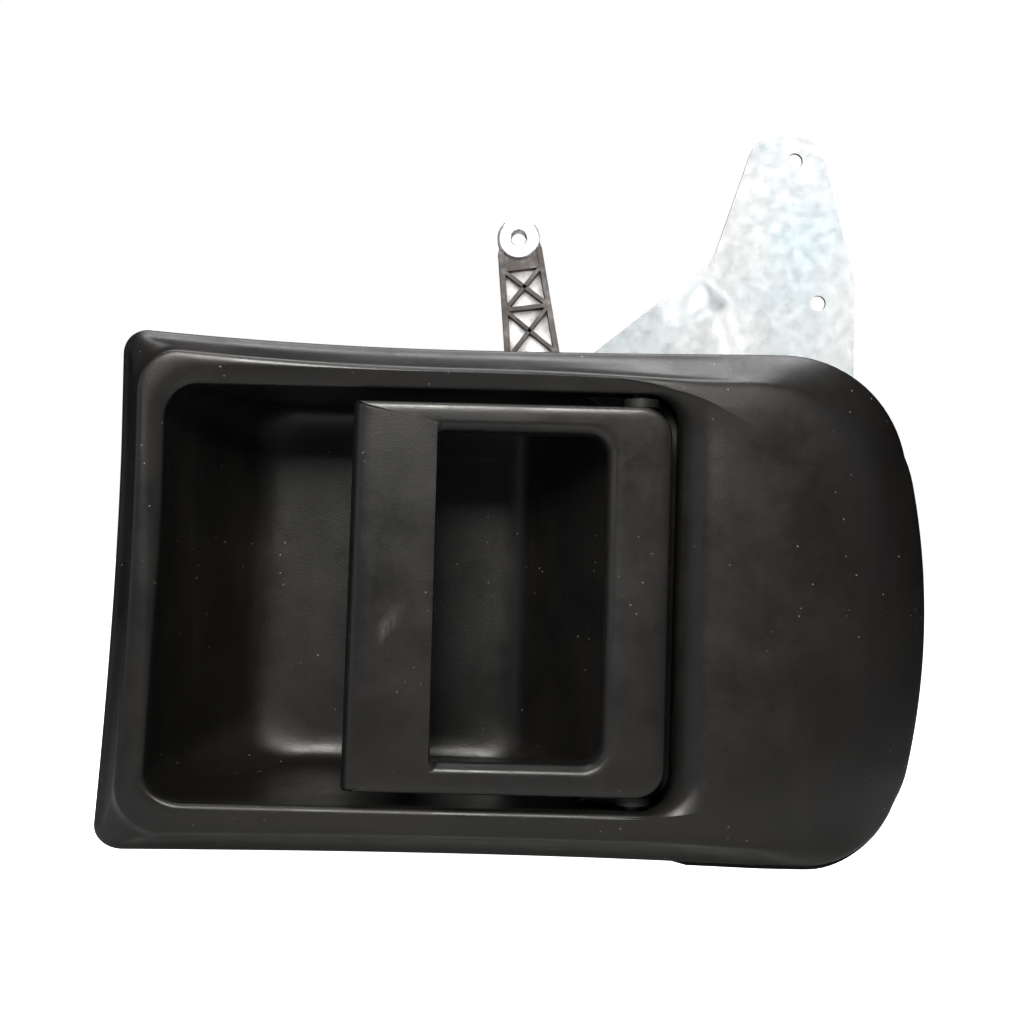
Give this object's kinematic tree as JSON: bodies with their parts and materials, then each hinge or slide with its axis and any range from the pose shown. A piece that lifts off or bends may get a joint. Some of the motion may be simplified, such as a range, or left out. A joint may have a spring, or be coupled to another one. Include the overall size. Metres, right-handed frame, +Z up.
{
  "type": "sliding door outside handle",
  "caption": "Outside handle of a van's sliding door: recessed finger bowl in a bezel, loop handle on an upright hinge, and a drive arm that swings a release lever on a steel bracket.",
  "frame": {"origin": "centre of the rectangle of the four mounting studs, on the door skin's outer face (the gasket's rear face)", "axes": "+X to the right seen from outside the vehicle, +Y inwards through the door skin along the studs, +Z up"},
  "size_m": [0.2232, 0.0754, 0.2072],
  "materials": {
    "bezel": "fine grained black",
    "finger_bowl": "grained black",
    "gasket": "soft foam rubber",
    "mounting_studs": "zinc plated",
    "handle_grip": "fine grained black, slightly polished by use",
    "hinge_pin": "ground",
    "hinge_pin_clip": "phosphated",
    "hinge_bushes": "natural acetal",
    "handle_return_spring": "drawn spring wire",
    "drive_arm": "die cast",
    "drive_arm_screws": "zinc plated",
    "pusher_cap": "natural acetal",
    "closed_stop_buffer": "moulded",
    "open_stop_buffer": "moulded",
    "bracket_plate": "zinc plated with a pale passivation",
    "bracket_screws": "zinc plated",
    "release_lever": "die cast",
    "lever_bush": "natural acetal",
    "lever_pivot_stud": "turned",
    "lever_washer": "zinc plated",
    "lever_circlip": "phosphated",
    "lever_return_spring": "drawn spring wire"
  },
  "bodies": {
    "housing": {"bezel": "bezel", "finger_bowl": "finger_bowl", "gasket": "gasket", "mounting_studs": "mounting_studs", "hinge_pin": "hinge_pin", "hinge_pin_clip": "hinge_pin_clip", "bracket_plate": "bracket_plate", "bracket_screws": "bracket_screws", "closed_stop_buffer": "closed_stop_buffer", "open_stop_buffer": "open_stop_buffer", "lever_pivot_stud": "lever_pivot_stud", "lever_washer": "lever_washer", "lever_circlip": "lever_circlip", "handle_return_spring": "handle_return_spring", "lever_return_spring": "lever_return_spring"},
    "handle": {"handle_grip": "handle_grip", "hinge_bushes": "hinge_bushes", "drive_arm": "drive_arm", "drive_arm_screws": "drive_arm_screws", "pusher_cap": "pusher_cap"},
    "lever": {"release_lever": "release_lever", "lever_bush": "lever_bush"}
  },
  "joints": [
    {"name": "handle_hinge", "type": "hinge", "parent": "housing", "child": "handle", "pos_m": [0.046, -0.0075, 0.0016], "axis": [0, 0, 1], "range_deg": [0, 20], "stiffness_Nm_per_rad": 0.8, "springref_deg": -14.32, "deforming": ["handle_return_spring"]},
    {"name": "lever_pivot", "type": "hinge", "parent": "housing", "child": "lever", "pos_m": [0.024, 0.048, 0.0208], "axis": [0, 1, 0], "range_deg": [0, 24], "deforming": ["lever_return_spring"]}
  ],
  "couplings": [
    {"joint": "lever_pivot", "follows": "handle_hinge", "ratio": 1.18}
  ]
}
